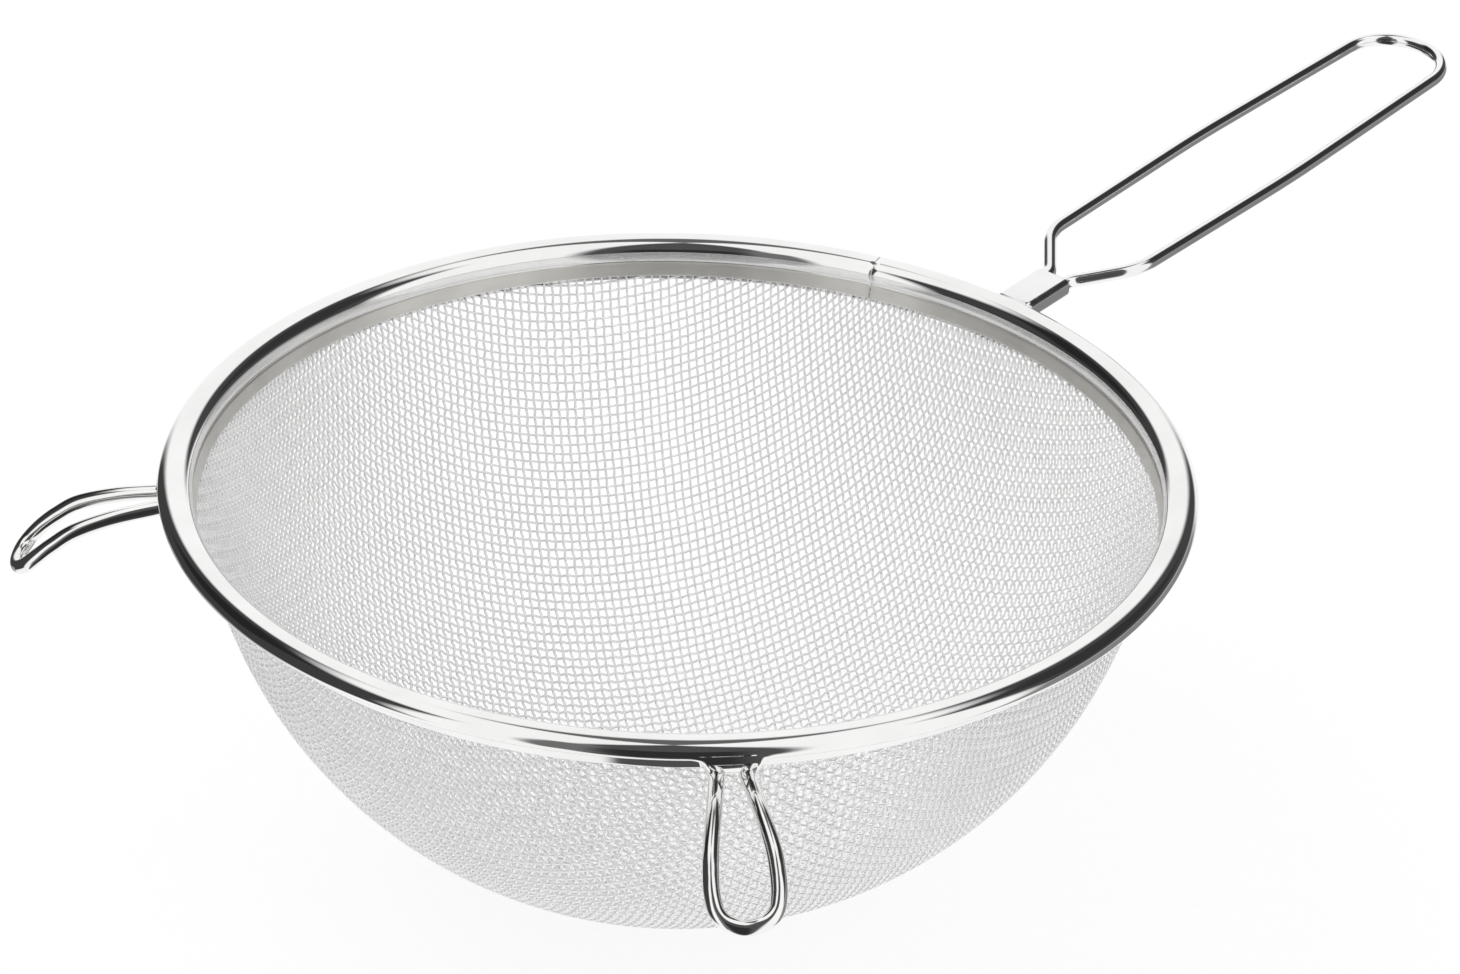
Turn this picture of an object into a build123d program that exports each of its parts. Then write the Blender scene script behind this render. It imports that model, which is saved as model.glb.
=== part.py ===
"""Bowl strainer: a woven steel bowl in a folded rim, a wire handle and two rest loops.

Millimetres. The handle points along +X, the bowl opens towards +Z, and the origin is at
the middle of the small flat that the bowl stands on.
"""
from build123d import *

import os
from math import cos, radians, sin, tan

# Bowl of woven wire cloth: round below, straight and leaning outwards above
wall_lean = 19.7
cloth = 0.8
foot_depth = 0.5
cloth_top_drop = 1.2

# Gaps of the cloth, drawn far coarser than the real weave
gap_pitch = 19.5
gap_bar = 2.6
gap_turn = 54.0
gap_rows = 6
plain_band_drop = 12.5

# Folded rim: an oval bead with a skirt inside and a skirt outside the cloth
bead_sides = 12
hollow_sides = 6
rim_radius = 110.0
rim_height = 92.7
bead_width = 7.4
bead_height = 4.7
bead_overhang = 1.11
rim_sheet = 0.5
inner_skirt_drop = 5.6
outer_skirt_drop = 6.4
cloth_fit = 0.1
rim_joint_gap = 0.4
rim_joint_azimuth = 17.5

# Wire of all the bent pieces is drawn with flats
wire_sides = 8

# Stiffening ring inside the bead
ring_sides = 6
ring_wire = 3.0
ring_offset = 0.4

# Wire handle, with its lengths measured from the rim's outermost edge
handle_wire = 3.0
handle_rise = 4.24
handle_half_width = 13.95
handle_belly_length = 82.0
handle_belly_radius = 400.0
handle_end_half_width = 12.0
handle_end_radius = 11.6
handle_length = 148.4
splay_run = 1.9
splay_length = 28.8
splay_half_width = 12.9
splay_lift = 1.43
splay_root_radius = 4.5
splay_end_radius = 12.0

# Flattened sheet sleeve round the two handle wires
sleeve_sheet = 0.6
sleeve_inner_width = 8.4
sleeve_length = 14.6
sleeve_corner = 1.2
sleeve_drop = 1.35
sleeve_seam = 0.4
wire_fit = 0.1
ring_gap = 0.2

# Rest loops, one at each side, opposite the handle, with lengths from the rim's outermost edge
loop_azimuth = 132.0
loop_wire = 2.8
loop_root_drop = 5.3
loop_root_half = 2.75
loop_half_width = 6.65
loop_bend_length = 17.0
loop_bend_drop = 10.4
loop_tip_length = 30.4
loop_tip_drop = 22.5
loop_bend_radius = 24.0
loop_end_radius = 6.5
loop_cloth_gap = 0.3

# Hood pressed out of the outer skirt over the two legs of a rest loop
hood_inset = 2.7
hood_depth = 1.9
hood_width = 10.4
hood_corner = 0.9
hood_drop = 5.0
hood_height = 3.25
hood_flare = 25.0
notch_length = 8.0

overrun = 4.0

bead_centre = rim_radius - bead_width / 2
lean_sin = sin(radians(wall_lean))
lean_cos = cos(radians(wall_lean))
rise = tan(radians(handle_rise))

# The bowl is the ball that touches the leaning wall under the bead and reaches down to the foot
wall_reach = bead_centre - bead_overhang
bowl_radius = (wall_reach * lean_cos - (rim_height + foot_depth) * lean_sin) / (1 - lean_sin)
bowl_centre = bowl_radius - foot_depth


def wall_radius(drop, inset):
    """Radius of the straight wall, a drop below the rim's middle and an inset into the cloth."""
    depth = bowl_centre - rim_height + drop
    return (bowl_radius - inset - depth * lean_sin) / lean_cos


def wall_strip(outer_inset, inner_inset, low_drop, high_drop):
    """Strip of the wall's section between two insets and two drops below the rim's middle."""
    return Polygon(
        (wall_radius(low_drop, outer_inset), rim_height - low_drop),
        (wall_radius(high_drop, outer_inset), rim_height - high_drop),
        (wall_radius(high_drop, inner_inset), rim_height - high_drop),
        (wall_radius(low_drop, inner_inset), rim_height - low_drop),
        align=None,
    )


def oval(width, height, sides):
    """Oval outline with flats, centred in the rim's bead."""
    turns = [radians(360 / sides * step) for step in range(sides)]
    return Polygon(
        *[(bead_centre + width / 2 * cos(a), rim_height + height / 2 * sin(a)) for a in turns],
        align=None,
    )


def outward(azimuth):
    """Direction that points away from the bowl's axis."""
    return Vector(cos(radians(azimuth)), sin(radians(azimuth)), 0)


def at(azimuth, reach, side, drop):
    """Point in space from an azimuth, a reach, a side step and a drop below the rim's middle."""
    return outward(azimuth) * reach + outward(azimuth + 90) * side + Vector(0, 0, rim_height - drop)


def handle_drop(reach, lift):
    """Drop of the rising handle's middle line below the rim's middle, at a reach, with a lift."""
    return sleeve_drop - rise * (reach - rim_radius) - lift


def bent_run(points, radii):
    """Straight runs through the points, with a tangent arc of its own radius at each bend."""
    start = points[0]
    for before, corner, after, radius in zip(points, points[1:], points[2:], radii):
        into = (corner - before).normalized()
        out = (after - corner).normalized()
        half_turn = radians(into.get_angle(out) / 2)
        first = corner - into * (radius * tan(half_turn))
        last = corner + out * (radius * tan(half_turn))
        middle = corner + (out - into).normalized() * (radius / cos(half_turn) - radius)
        Line(start, first)
        ThreePointArc(first, middle, last)
        start = last
    Line(start, points[-1])


def loop_points(azimuth):
    """Bend points of a rest loop, from the end of one leg round to the end of the other."""
    root_reach = wall_radius(loop_root_drop, -loop_cloth_gap) + loop_wire / 2 * lean_sin
    leg = (
        (root_reach, loop_root_half, loop_root_drop),
        (rim_radius + loop_bend_length, loop_half_width, loop_bend_drop),
        (rim_radius + loop_tip_length, loop_half_width, loop_tip_drop),
    )
    there = [at(azimuth, reach, side, drop) for reach, side, drop in leg]
    back = [at(azimuth, reach, -side, drop) for reach, side, drop in reversed(leg)]
    return there + back


os.makedirs("parts", exist_ok=True)

# Woven bowl: a thin shell of revolution, cut flat at the foot, with a net of square gaps
cloth_top = rim_height - cloth_top_drop
with BuildPart() as mesh_bowl:
    with BuildSketch(Plane.XZ):
        with BuildLine():
            outer_arc = CenterArc((0, bowl_centre), bowl_radius, -90, 90 - wall_lean)
            outer_top = (wall_radius(cloth_top_drop, 0), cloth_top)
            Line(outer_arc @ 1, outer_top)
            inner_top = (wall_radius(cloth_top_drop, cloth), cloth_top)
            Line(outer_top, inner_top)
            inner_arc = CenterArc((0, bowl_centre), bowl_radius - cloth, -90, 90 - wall_lean)
            Line(inner_top, inner_arc @ 1)
            Line(inner_arc @ 0, outer_arc @ 0)
        make_face()
    revolve(axis=Axis.Z)
    split(bisect_by=Plane.XY, keep=Keep.TOP)
    gap_limit = wall_radius(plain_band_drop, 0)
    with BuildSketch(Plane.XY.rotated((0, 0, gap_turn))):
        lines = [bowl_radius * sin(row * gap_pitch / bowl_radius) for row in range(gap_rows + 1)]
        for near_x, far_x in zip(lines, lines[1:]):
            for near_y, far_y in zip(lines, lines[1:]):
                if far_x**2 + far_y**2 < gap_limit**2:
                    x = (near_x + far_x) / 2
                    y = (near_y + far_y) / 2
                    across_x = (far_x - near_x) * (1 - gap_bar / gap_pitch)
                    across_y = (far_y - near_y) * (1 - gap_bar / gap_pitch)
                    with Locations((x, y), (x, -y), (-x, y), (-x, -y)):
                        Rectangle(across_x, across_y)
    extrude(amount=rim_height, mode=Mode.SUBTRACT)
mesh_bowl.part.label = "mesh_bowl"
export_step(mesh_bowl.part, "parts/mesh_bowl.step")

# Stiffening ring, hidden in the bead
ring_centre = bead_centre + ring_offset
with BuildPart() as rim_ring:
    with BuildSketch(Plane.XZ):
        with Locations((ring_centre, rim_height)):
            RegularPolygon(ring_wire / 2, ring_sides)
    revolve(axis=Axis.Z)
rim_ring.part.label = "rim_ring"
export_step(rim_ring.part, "parts/rim_ring.step")

# Handle: one wire, out of the sleeve, splayed, along both sides and round the far end
ring_face = ring_centre + ring_wire / 2 + ring_gap
sleeve_inner_height = handle_wire + 2 * wire_fit
wire_side = (sleeve_inner_width - handle_wire) / 2 - wire_fit
sleeve_end = rim_radius + sleeve_length
handle_leg = (
    (ring_face, wire_side, 0),
    (sleeve_end + splay_run, wire_side, 0),
    (rim_radius + splay_length, splay_half_width, splay_lift),
    (rim_radius + handle_belly_length, handle_half_width, splay_lift),
    (rim_radius + handle_length, handle_end_half_width, splay_lift),
)
handle_points = [at(0, reach, side, handle_drop(reach, lift)) for reach, side, lift in handle_leg]
handle_points += [
    at(0, reach, -side, handle_drop(reach, lift)) for reach, side, lift in reversed(handle_leg)
]
handle_radii = [splay_root_radius, splay_end_radius, handle_belly_radius, handle_end_radius]
with BuildPart() as handle_loop:
    with BuildLine() as handle_path:
        bent_run(handle_points, handle_radii + handle_radii[::-1])
    with BuildSketch(Plane(origin=handle_path.line @ 0, z_dir=handle_path.line % 0)):
        RegularPolygon(handle_wire / 2, wire_sides)
    sweep()
handle_loop.part.label = "handle_loop"
export_step(handle_loop.part, "parts/handle_loop.step")

# Sleeve: sheet folded flat round both wires, with its seam underneath
sleeve_width = sleeve_inner_width + 2 * sleeve_sheet
sleeve_height = sleeve_inner_height + 2 * sleeve_sheet
sleeve_plane = Plane(
    origin=at(0, ring_face, 0, handle_drop(ring_face, 0)),
    x_dir=(0, 1, 0),
    z_dir=(1, 0, rise),
)
sleeve_run = (sleeve_end - ring_face) / cos(radians(handle_rise))
with BuildPart() as handle_sleeve:
    with BuildSketch(sleeve_plane):
        RectangleRounded(sleeve_width, sleeve_height, sleeve_corner)
        SlotOverall(sleeve_inner_width, sleeve_inner_height, mode=Mode.SUBTRACT)
        with Locations((0, -sleeve_height / 2)):
            Rectangle(sleeve_seam, sleeve_height, mode=Mode.SUBTRACT)
    extrude(amount=sleeve_run)
handle_sleeve.part.label = "handle_sleeve"
export_step(handle_sleeve.part, "parts/handle_sleeve.step")

# Rest loops
for side, azimuth in (("left", loop_azimuth), ("right", -loop_azimuth)):
    with BuildPart() as rest_loop:
        with BuildLine() as loop_path:
            loop_radii = [loop_bend_radius, loop_end_radius]
            bent_run(loop_points(azimuth), loop_radii + loop_radii[::-1])
        with BuildSketch(Plane(origin=loop_path.line @ 0, z_dir=loop_path.line % 0)):
            RegularPolygon(loop_wire / 2, wire_sides)
        sweep()
    rest_loop.part.label = f"rest_loop_{side}"
    export_step(rest_loop.part, f"parts/rest_loop_{side}.step")

# Rim: folded sheet, with a hood and two notches for each loop and a window for the sleeve
with BuildPart() as rim_band:
    with BuildSketch(Plane.XZ):
        oval(bead_width, bead_height, bead_sides)
        wall_strip(-cloth_fit - rim_sheet, -cloth_fit, outer_skirt_drop, 0)
        wall_strip(cloth + cloth_fit, cloth + cloth_fit + rim_sheet, inner_skirt_drop, 0)
    revolve(axis=Axis.Z)
    for azimuth in (loop_azimuth, -loop_azimuth):
        lip = Plane(
            origin=at(azimuth, rim_radius - hood_inset - hood_depth / 2, 0, hood_drop),
            x_dir=outward(azimuth),
            z_dir=(0, 0, 1),
        )
        with BuildSketch(lip):
            RectangleRounded(hood_depth, hood_width, hood_corner)
        extrude(amount=hood_height, taper=-hood_flare)
    with BuildSketch(Plane.XZ):
        oval(bead_width - 2 * rim_sheet, bead_height - 2 * rim_sheet, hollow_sides)
        wall_strip(-cloth_fit, cloth + cloth_fit, rim_height, cloth_top_drop - cloth_fit)
    revolve(axis=Axis.Z, mode=Mode.SUBTRACT)
    for azimuth in (loop_azimuth, -loop_azimuth):
        points = loop_points(azimuth)
        for end, towards in ((points[0], points[1]), (points[-1], points[-2])):
            with BuildSketch(Plane(origin=end, z_dir=towards - end)):
                Circle(loop_wire / 2 + wire_fit)
            extrude(amount=notch_length, mode=Mode.SUBTRACT)
    with BuildSketch(sleeve_plane):
        RectangleRounded(sleeve_width + 2 * wire_fit, sleeve_height + 2 * wire_fit, sleeve_corner)
    extrude(amount=sleeve_run, mode=Mode.SUBTRACT)
    with BuildSketch(
        Plane((0, 0, 0), x_dir=outward(rim_joint_azimuth), z_dir=outward(rim_joint_azimuth - 90))
    ):
        with Locations((bead_centre, rim_height)):
            Rectangle(bead_width + 2 * overrun, 2 * (outer_skirt_drop + overrun))
    extrude(amount=rim_joint_gap / 2, both=True, mode=Mode.SUBTRACT)
rim_band.part.label = "rim_band"
export_step(rim_band.part, "parts/rim_band.step")
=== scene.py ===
"""Looks of the bowl strainer: woven steel cloth, folded rim, wire handle and rest loops.

Sizes are in millimetres in the frame of the solids, with the handle along +X, and become
metres where a mesh is made. Heights that are called drops go down from the middle of the
rim's bead, and reaches go out from the bowl's axis. The studio's own sizes are in metres.
"""
import logging
import math
from dataclasses import dataclass, field
from enum import Enum
from typing import List, Mapping, Optional, Sequence, Tuple, Union

import bpy
import numpy as np
from mathutils import Matrix, Vector

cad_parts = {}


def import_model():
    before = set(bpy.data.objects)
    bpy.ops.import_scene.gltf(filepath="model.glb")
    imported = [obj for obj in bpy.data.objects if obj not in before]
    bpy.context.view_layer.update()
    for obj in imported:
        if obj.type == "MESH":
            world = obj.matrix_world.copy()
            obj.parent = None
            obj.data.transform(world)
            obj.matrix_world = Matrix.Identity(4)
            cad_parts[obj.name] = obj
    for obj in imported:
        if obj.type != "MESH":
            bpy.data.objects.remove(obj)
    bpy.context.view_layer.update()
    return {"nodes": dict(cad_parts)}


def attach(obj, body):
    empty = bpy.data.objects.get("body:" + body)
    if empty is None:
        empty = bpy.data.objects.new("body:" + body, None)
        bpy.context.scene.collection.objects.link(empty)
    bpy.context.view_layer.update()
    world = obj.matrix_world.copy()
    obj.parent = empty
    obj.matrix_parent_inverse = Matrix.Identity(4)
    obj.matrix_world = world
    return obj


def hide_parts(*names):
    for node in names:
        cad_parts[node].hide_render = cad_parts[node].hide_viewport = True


log = logging.getLogger("strainer")

MM = 0.001
TINY = 1e-9
WHITE = (1.0, 1.0, 1.0, 1.0)

# Height of the middle of the rim's bead and of the bowl's ball, and the lean of the wall
# above the ball
RIM_HEIGHT = 92.7
BALL_HEIGHT = 101.5
WALL_LEAN = math.radians(19.7)

# Points round a thick wire, and the rings of its domed end: how far each lies beyond the
# end, and how wide it is, as shares of the wire's radius
ROUND_SIDES = 28
DOME = ((0.55, 0.84), (0.9, 0.44))

# Directions of the points on the rounded lower edge of a sheet
EDGE_ANGLES = (45.0, 90.0, 135.0)

# What goes into a node: sockets or values, by the name or number of the input
Inputs = Mapping[Union[str, int], object]


class Slot(Enum):
    """Names of the material slots of the record."""

    CLOTH = "wire_cloth"
    RIM = "rim_sheet"
    SLEEVE = "sleeve_sheet"
    HANDLE = "handle_wire"
    LOOP = "loop_wire"


class Side(Enum):
    """The two sides of the handle that carry a rest loop, as the sign of the azimuth."""

    LEFT = 1
    RIGHT = -1


# ---------------------------------------------------------------- finishes


class NodeBench:
    """Short names for adding and joining the nodes of one material or world."""

    def __init__(self, tree: bpy.types.NodeTree) -> None:
        """Starts from an empty tree.

        Args:
            tree: The node tree that is filled.
        """
        self.tree = tree
        tree.nodes.clear()

    def add(
        self, kind: str, inputs: Optional[Inputs] = None, **settings: object
    ) -> bpy.types.Node:
        """Adds one node.

        Args:
            kind: Blender's name of the node type.
            inputs: A socket or a value for each input that is used, by its name or number.
            settings: Attributes to set on the new node.

        Returns:
            The new node.
        """
        node = self.tree.nodes.new(kind)
        for name, value in settings.items():
            setattr(node, name, value)
        for name, value in (inputs or {}).items():
            if isinstance(value, bpy.types.NodeSocket):
                self.tree.links.new(value, node.inputs[name])
            else:
                node.inputs[name].default_value = value
        return node

    def math(self, operation: str, *values: object) -> bpy.types.NodeSocket:
        """Adds a Math node, with a socket or a number for each input, and gives its output."""
        return self.add("ShaderNodeMath", dict(enumerate(values)), operation=operation).outputs[0]

    def in_sight(self) -> bpy.types.NodeSocket:
        """Adds a test that is 1 for what the eye sees, straight, mirrored or through glass.

        Returns:
            The test's output.
        """
        path = self.add("ShaderNodeLightPath")
        seen = self.math("MAXIMUM", path.outputs["Is Camera Ray"], path.outputs["Is Glossy Ray"])
        return self.math("MAXIMUM", seen, path.outputs["Is Transmission Ray"])


def new_material(name: str) -> Tuple[bpy.types.Material, NodeBench]:
    """Starts a node material.

    Args:
        name: Name of the material.

    Returns:
        The material, and the bench that fills its node tree.
    """
    material = bpy.data.materials.new(name)
    material.use_nodes = True
    return material, NodeBench(material.node_tree)


@dataclass(frozen=True)
class SteelFinish:
    """Bright stainless steel with fine polishing lines and a little uneven gloss.

    Its colour drifts in clouds between a dark and a light one, and its roughness follows
    the lines between a smooth and a rough value. The scales count per metre.
    """

    name: str
    dark: Tuple[float, float, float]
    light: Tuple[float, float, float]
    smooth: float
    rough: float
    grain: Tuple[float, float, float] = (400.0, 400.0, 400.0)
    grain_depth: float = 0.1
    grain_height: float = 0.02
    grain_detail: float = 5.0
    cloud: float = 60.0
    cloud_detail: float = 3.0
    spread: Tuple[float, float] = (0.3, 0.7)
    metal: float = 1.0

    def material(self) -> bpy.types.Material:
        """Builds the finish as a node material.

        Returns:
            The material.
        """
        material, bench = new_material(self.name)
        place = bench.add("ShaderNodeTexCoord").outputs["Object"]
        clouds = bench.add(
            "ShaderNodeTexNoise",
            {"Vector": place, "Scale": self.cloud, "Detail": self.cloud_detail},
        )
        tint = bench.add("ShaderNodeValToRGB", {"Fac": clouds.outputs["Fac"]})
        colours = (self.dark, self.light)
        for stop, share, colour in zip(tint.color_ramp.elements, self.spread, colours):
            stop.position = share
            stop.color = (*colour, 1.0)
        stretch = bench.add("ShaderNodeMapping", {"Vector": place, "Scale": self.grain})
        lines = bench.add(
            "ShaderNodeTexNoise",
            {"Vector": stretch.outputs["Vector"], "Scale": 1.0, "Detail": self.grain_detail},
        ).outputs["Fac"]
        gloss = bench.add(
            "ShaderNodeMapRange",
            {
                "Value": lines,
                "From Min": self.spread[0],
                "From Max": self.spread[1],
                "To Min": self.smooth,
                "To Max": self.rough,
            },
        )
        height = self.grain_height * MM
        relief = bench.add(
            "ShaderNodeBump",
            {"Height": lines, "Strength": self.grain_depth, "Distance": height},
        )
        steel = bench.add(
            "ShaderNodeBsdfPrincipled",
            {
                "Base Color": tint.outputs["Color"],
                "Metallic": self.metal,
                "Roughness": gloss.outputs["Result"],
                "Normal": relief.outputs["Normal"],
            },
        )
        bench.add("ShaderNodeOutputMaterial", {"Surface": steel.outputs["BSDF"]})
        return material


CLOTH_WIRE = SteelFinish(
    name="bright_woven_wire",
    dark=(0.93, 0.93, 0.93),
    light=(0.98, 0.98, 0.98),
    smooth=0.10,
    rough=0.18,
    grain=(900.0, 900.0, 900.0),
    cloud=220.0,
    metal=0.42,
)
RIM_SHEET = SteelFinish(
    name="polished_rim_sheet",
    dark=(0.86, 0.855, 0.85),
    light=(0.93, 0.925, 0.92),
    smooth=0.03,
    rough=0.07,
    grain=(160.0, 160.0, 1600.0),
    grain_depth=0.02,
)
# Inner skirt under the bead: a rougher finish, and a darker beige-grey colour that is painted
# shade from the bead above it
DULL_SHADED_SKIRT_SHEET = SteelFinish(
    name="dull_skirt_sheet_painted_shade",
    dark=(0.60, 0.585, 0.55),
    light=(0.72, 0.705, 0.67),
    smooth=0.32,
    rough=0.46,
    grain=(160.0, 160.0, 1600.0),
    metal=0.7,
)
SLEEVE_SHEET = SteelFinish(
    name="polished_sleeve_sheet",
    dark=(0.84, 0.84, 0.84),
    light=(0.92, 0.92, 0.92),
    smooth=0.10,
    rough=0.18,
    grain=(1400.0, 160.0, 160.0),
)
HANDLE_WIRE = SteelFinish(
    name="polished_handle_wire",
    dark=(0.86, 0.86, 0.86),
    light=(0.93, 0.93, 0.93),
    smooth=0.06,
    rough=0.12,
    grain=(160.0, 1400.0, 1400.0),
)
LOOP_WIRE = SteelFinish(
    name="polished_loop_wire",
    dark=(0.87, 0.87, 0.86),
    light=(0.94, 0.94, 0.93),
    smooth=0.05,
    rough=0.11,
)
RING_WIRE = SteelFinish(
    name="plain_ring_wire",
    dark=(0.45, 0.45, 0.44),
    light=(0.6, 0.6, 0.59),
    smooth=0.25,
    rough=0.45,
)


# ---------------------------------------------------------------- meshes


def surface_of(
    name: str,
    points: np.ndarray,
    quads: np.ndarray,
    extra: Sequence[Sequence[int]] = (),
) -> bpy.types.Object:
    """Makes a smooth-shaded object from points in millimetres.

    Args:
        name: Name of the piece.
        points: Points, one row each, in millimetres.
        quads: Corner indices of the four-sided faces, one row each.
        extra: Corner indices of any other faces.

    Returns:
        The new object, linked to the scene.
    """
    mesh = bpy.data.meshes.new(name)
    corners = [quads.reshape(-1)] + [np.asarray(face) for face in extra]
    counts = np.array([4] * len(quads) + [len(face) for face in extra], dtype=np.int32)
    loops = np.concatenate(corners).astype(np.int32)
    mesh.vertices.add(len(points))
    mesh.vertices.foreach_set("co", (points * MM).astype(np.float32).reshape(-1))
    mesh.loops.add(len(loops))
    mesh.loops.foreach_set("vertex_index", loops)
    mesh.polygons.add(len(counts))
    starts = np.concatenate([[0], np.cumsum(counts)[:-1]]).astype(np.int32)
    mesh.polygons.foreach_set("loop_start", starts)
    mesh.polygons.foreach_set("use_smooth", np.ones(len(counts), dtype=bool))
    mesh.update(calc_edges=True)
    mesh.validate()
    piece = bpy.data.objects.new(name, mesh)
    bpy.context.collection.objects.link(piece)
    return piece


def neighbours(count: int) -> np.ndarray:
    """Pairs of neighbouring numbers up to a count, one pair to a row."""
    return np.stack([np.arange(count - 1), np.arange(1, count)], axis=1)


def ring_quads(rows: np.ndarray, sides: int) -> np.ndarray:
    """Joins pairs of rings of a tube.

    Args:
        rows: Pairs of ring numbers, one pair to a row.
        sides: Points in a ring.

    Returns:
        Corner indices of the faces, one row each.
    """
    turn = np.arange(sides)
    following = (turn + 1) % sides
    first = rows[:, :1] * sides
    second = rows[:, 1:] * sides
    corners = (first + turn, first + following, second + following, second + turn)
    return np.stack(corners, axis=-1).reshape(-1, 4)


def capped(name: str, rings: np.ndarray) -> bpy.types.Object:
    """Makes a closed skin over a row of rings, with a flat face at both ends.

    Args:
        name: Name of the piece.
        rings: Points in millimetres, by ring and by place in the ring.

    Returns:
        The new object.
    """
    count, sides = rings.shape[:2]
    caps = [range(sides)[::-1], range((count - 1) * sides, count * sides)]
    return surface_of(name, rings.reshape(-1, 3), ring_quads(neighbours(count), sides), caps)


def unit(vectors: np.ndarray) -> np.ndarray:
    """Vectors of length one in the directions of the given ones."""
    return vectors / np.linalg.norm(vectors, axis=-1, keepdims=True)


def tube(name: str, path: np.ndarray, radius: float) -> bpy.types.Object:
    """Makes a round wire with domed ends along a path.

    Args:
        name: Name of the piece.
        path: Points of the wire's middle line, in millimetres.
        radius: Radius of the wire.

    Returns:
        The wire.
    """
    run = unit(np.gradient(path, axis=0))
    side = np.zeros_like(path)
    side[0] = unit(np.cross(run[0], (0.0, 0.0, 1.0)))
    for step in range(1, len(path)):
        side[step] = square(run[step], side[step - 1])
    over = np.cross(run, side)
    turns = 2 * math.pi * np.arange(ROUND_SIDES)[:, None] / ROUND_SIDES
    shape = np.cos(turns) * side[:, None] + np.sin(turns) * over[:, None]
    rings = [path[:, None] + radius * shape]
    for share, width in DOME:
        rings.insert(0, (path[0] - run[0] * radius * share + radius * width * shape[0])[None])
        rings.append((path[-1] + run[-1] * radius * share + radius * width * shape[-1])[None])
    return capped(name, np.concatenate(rings))


def bent_path(corners: np.ndarray, radii: Sequence[float], step: float) -> np.ndarray:
    """Straight runs with a round bend at each corner, as points.

    Args:
        corners: Start, corners and end of the path.
        radii: Radius of the bend at each corner.
        step: Largest distance between two points.

    Returns:
        Points along the path.
    """
    fewest = 4
    pieces = []
    start = corners[0]
    for before, corner, after, radius in zip(corners, corners[1:], corners[2:], radii):
        into = unit(corner - before)
        out = unit(after - corner)
        turn = math.acos(float(np.clip(np.dot(into, out), -1.0, 1.0)))
        reach = radius * math.tan(turn / 2)
        first = corner - into * reach
        last = corner + out * reach
        inward = unit(out - into)
        middle = corner + inward * radius / math.cos(turn / 2)
        pieces.append(straight(start, first, step))
        count = max(fewest, int(radius * turn / step) + 1)
        angles = np.linspace(0, turn, count)[:-1, None]
        spoke = into * np.sin(angles) - square(into, inward) * np.cos(angles)
        pieces.append(middle + radius * spoke)
        start = last
    pieces.append(straight(start, corners[-1], step))
    pieces.append(corners[-1][None])
    return np.concatenate(pieces)


def square(along: np.ndarray, towards: np.ndarray) -> np.ndarray:
    """Direction at right angles to one vector, on the side of another."""
    return unit(towards - along * np.dot(towards, along))


def straight(start: np.ndarray, end: np.ndarray, step: float) -> np.ndarray:
    """Evenly spaced points on a straight line.

    Args:
        start: First point.
        end: Where the line ends, which isn't one of the points.
        step: Distance between two points, or a little less than it is.

    Returns:
        The points.
    """
    count = max(1, int(np.linalg.norm(end - start) / step))
    share = np.arange(count)[:, None] / count
    return start + (end - start) * share


def rounded(points: np.ndarray, count: int) -> np.ndarray:
    """Smooth line through the given points.

    Args:
        points: Points that the line passes through.
        count: New points for each stretch between two of them.

    Returns:
        Points along the smooth line.
    """
    ends = np.concatenate([[2 * points[0] - points[1]], points, [2 * points[-1] - points[-2]]])
    share = (np.arange(count) / count)[:, None]
    line = []
    for before, first, second, after in zip(ends, ends[1:], ends[2:], ends[3:]):
        line.append(
            first
            + 0.5 * share * (second - before)
            + share**2 * (before - 2.5 * first + 2 * second - 0.5 * after)
            + share**3 * (1.5 * (first - second) + 0.5 * (after - before))
        )
    line.append(points[-1:])
    return np.concatenate(line)


def dress(piece: bpy.types.Object, node: str, material: bpy.types.Material) -> None:
    """Gives a piece its finish and ties it to the solid that it stands for.

    Args:
        piece: The new piece.
        node: Name of the solid.
        material: The finish.
    """
    piece.data.materials.append(material)
    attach(piece, "root")
    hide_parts(node)
    mesh = piece.data
    log.info("%s: %d points, %d faces", piece.name, len(mesh.vertices), len(mesh.polygons))


# ---------------------------------------------------------------- bowl


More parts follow.
